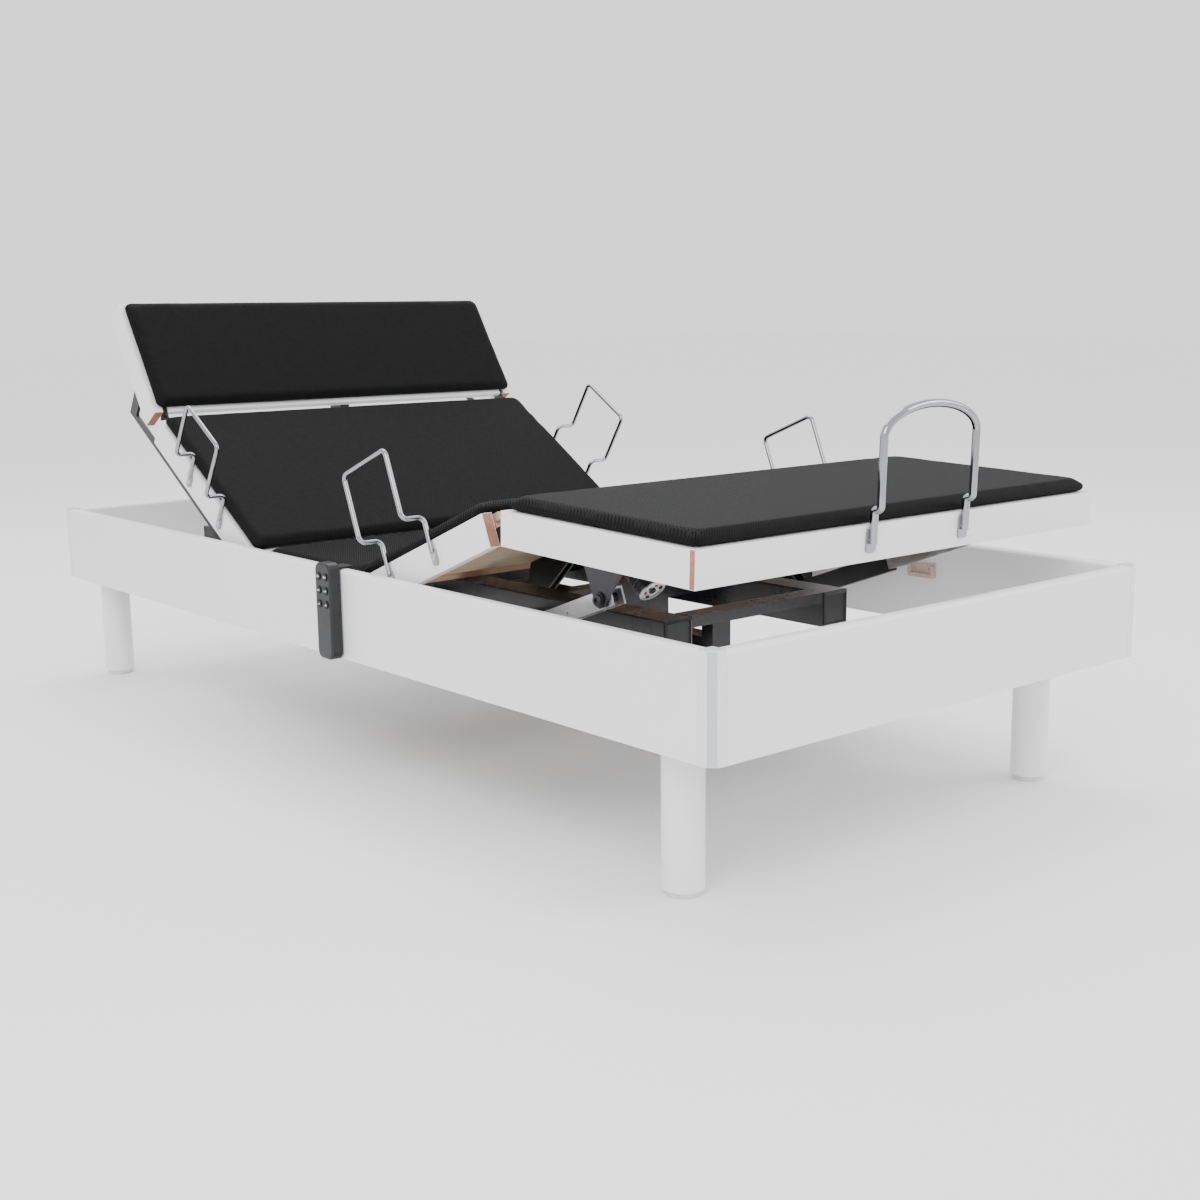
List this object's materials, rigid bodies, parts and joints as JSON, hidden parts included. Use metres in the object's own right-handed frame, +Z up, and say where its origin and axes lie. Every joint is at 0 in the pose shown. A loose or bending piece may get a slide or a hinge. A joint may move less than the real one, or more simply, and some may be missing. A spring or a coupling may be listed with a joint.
{
  "type": "adjustable bed base",
  "caption": "Adjustable bed base: a motor-driven tilting platform of padded sections in a box surround on round legs, with mattress retainers and a handset.",
  "frame": {"origin": "on the floor under the middle of the box surround", "axes": "+Z up, +Y towards the head end, +X across the bed, away from the rail that carries the handset"},
  "size_m": [0.999, 2.032, 0.8163],
  "materials": {
    "surround_board": "white laminate, satin",
    "corner_profile": "white lacquer",
    "leg_lacquer": "white lacquer, satin",
    "glide": "moulded, pale",
    "section_board": "white laminate with raw brown ends",
    "deck_board": "board with a pale face",
    "spacer_mesh": "ribbed black spacer mesh",
    "black_steel": "black powder coat",
    "zinc_steel": "zinc plated",
    "retainer_chrome": "polished",
    "drive_plastic": "fine grained",
    "slat_wood": "raw laths",
    "bracket_plastic": "beige moulded",
    "handset_plastic": "fine grained",
    "button_rubber": "soft matt"
  },
  "bodies": {
    "base": {"rail_left": "surround_board", "rail_right": "surround_board", "rail_foot": "surround_board", "rail_head": "surround_board", "corner_profiles": "corner_profile", "legs": "leg_lacquer", "leg_glides": "glide", "leg_plates": "black_steel", "frame_beam_left": "black_steel", "frame_beam_right": "black_steel", "frame_crossbars": "black_steel", "hinge_plates": "black_steel", "pivot_pins": "zinc_steel", "fixing_brackets": "bracket_plastic", "seat_deck": "deck_board", "seat_boards": "section_board", "seat_pad": "spacer_mesh", "seat_bearers": "slat_wood", "back_drive_body": "drive_plastic", "leg_drive_body": "drive_plastic", "drive_hangers": "black_steel", "control_box": "drive_plastic"},
    "back": {"back_deck": "deck_board", "back_boards": "section_board", "back_pad": "spacer_mesh", "back_lift_frame": "black_steel", "back_retainer_left": "retainer_chrome", "back_retainer_right": "retainer_chrome", "tilt_arms": "black_steel", "head_drive_body": "drive_plastic"},
    "head": {"head_deck": "deck_board", "head_boards": "section_board", "head_pad": "spacer_mesh", "head_tilt_frame": "black_steel"},
    "thigh": {"thigh_deck": "deck_board", "thigh_boards": "section_board", "thigh_pad": "spacer_mesh", "thigh_lift_frame": "black_steel", "thigh_slats": "slat_wood", "thigh_retainer_left": "retainer_chrome", "thigh_retainer_right": "retainer_chrome"},
    "calf": {"calf_deck": "deck_board", "calf_boards": "section_board", "foot_board": "section_board", "calf_pad": "spacer_mesh", "calf_brackets": "black_steel", "calf_motor": "drive_plastic", "foot_retainer": "retainer_chrome"},
    "links": {"link_tubes": "black_steel", "link_channels": "zinc_steel"},
    "back_rod": {"back_drive_rod": "zinc_steel"},
    "leg_rod": {"leg_drive_rod": "zinc_steel"},
    "head_rod": {"head_drive_rod": "zinc_steel"},
    "handset": {"handset_case": "handset_plastic"},
    "key_head_down": {"button_head_down": "button_rubber"},
    "key_head_up": {"button_head_up": "button_rubber"},
    "key_back_down": {"button_back_down": "button_rubber"},
    "key_back_up": {"button_back_up": "button_rubber"},
    "key_legs_down": {"button_legs_down": "button_rubber"},
    "key_legs_up": {"button_legs_up": "button_rubber"}
  },
  "joints": [
    {"name": "back_tilt", "type": "hinge", "parent": "base", "child": "back", "pos_m": [0, 0.2225, 0.331], "axis": [1, 0, 0], "range_deg": [-32.1, 19.9]},
    {"name": "head_tilt", "type": "hinge", "parent": "back", "child": "head", "pos_m": [0, 0.6144, 0.57566], "axis": [1, 0, 0], "range_deg": [-24.9, 15]},
    {"name": "thigh_tilt", "type": "hinge", "parent": "base", "child": "thigh", "pos_m": [0, -0.1224, 0.331], "axis": [-1, 0, 0], "range_deg": [-22, 13]},
    {"name": "calf_tilt", "type": "hinge", "parent": "thigh", "child": "calf", "pos_m": [0, -0.51691, 0.46451], "axis": [-1, 0, 0], "range_deg": [-14.3, 24.1]},
    {"name": "link_swing", "type": "hinge", "parent": "base", "child": "links", "pos_m": [0, -0.35868, 0.25592], "axis": [-1, 0, 0], "range_deg": [-23, 13.7]},
    {"name": "back_rod_slide", "type": "slide", "parent": "base", "child": "back_rod", "axis": [0, 1, 0], "range_m": [-0.0463, 0.0287]},
    {"name": "leg_rod_slide", "type": "slide", "parent": "base", "child": "leg_rod", "axis": [0, -1, 0], "range_m": [-0.0289, 0.0171]},
    {"name": "head_rod_slide", "type": "slide", "parent": "back", "child": "head_rod", "axis": [0, 0.8471, 0.5314], "range_m": [-0.0193, 0.0117]},
    {"name": "handset_lift", "type": "slide", "parent": "base", "child": "handset", "axis": [0, 0, 1], "range_m": [0, 0.06]},
    {"name": "press_head_down", "type": "slide", "parent": "handset", "child": "key_head_down", "axis": [1, 0, 0], "range_m": [0, 0.0012], "stiffness_N_per_m": 300},
    {"name": "press_head_up", "type": "slide", "parent": "handset", "child": "key_head_up", "axis": [1, 0, 0], "range_m": [0, 0.0012], "stiffness_N_per_m": 300},
    {"name": "press_back_down", "type": "slide", "parent": "handset", "child": "key_back_down", "axis": [1, 0, 0], "range_m": [0, 0.0012], "stiffness_N_per_m": 300},
    {"name": "press_back_up", "type": "slide", "parent": "handset", "child": "key_back_up", "axis": [1, 0, 0], "range_m": [0, 0.0012], "stiffness_N_per_m": 300},
    {"name": "press_legs_down", "type": "slide", "parent": "handset", "child": "key_legs_down", "axis": [1, 0, 0], "range_m": [0, 0.0012], "stiffness_N_per_m": 300},
    {"name": "press_legs_up", "type": "slide", "parent": "handset", "child": "key_legs_up", "axis": [1, 0, 0], "range_m": [0, 0.0012], "stiffness_N_per_m": 300}
  ],
  "couplings": [
    {"joint": "calf_tilt", "follows": "thigh_tilt", "ratio": -1.0886},
    {"joint": "link_swing", "follows": "thigh_tilt", "ratio": 1.04},
    {"joint": "back_rod_slide", "follows": "back_tilt", "m_per_rad": 0.0823},
    {"joint": "leg_rod_slide", "follows": "thigh_tilt", "m_per_rad": 0.0748},
    {"joint": "head_rod_slide", "follows": "head_tilt", "m_per_rad": 0.0441}
  ]
}
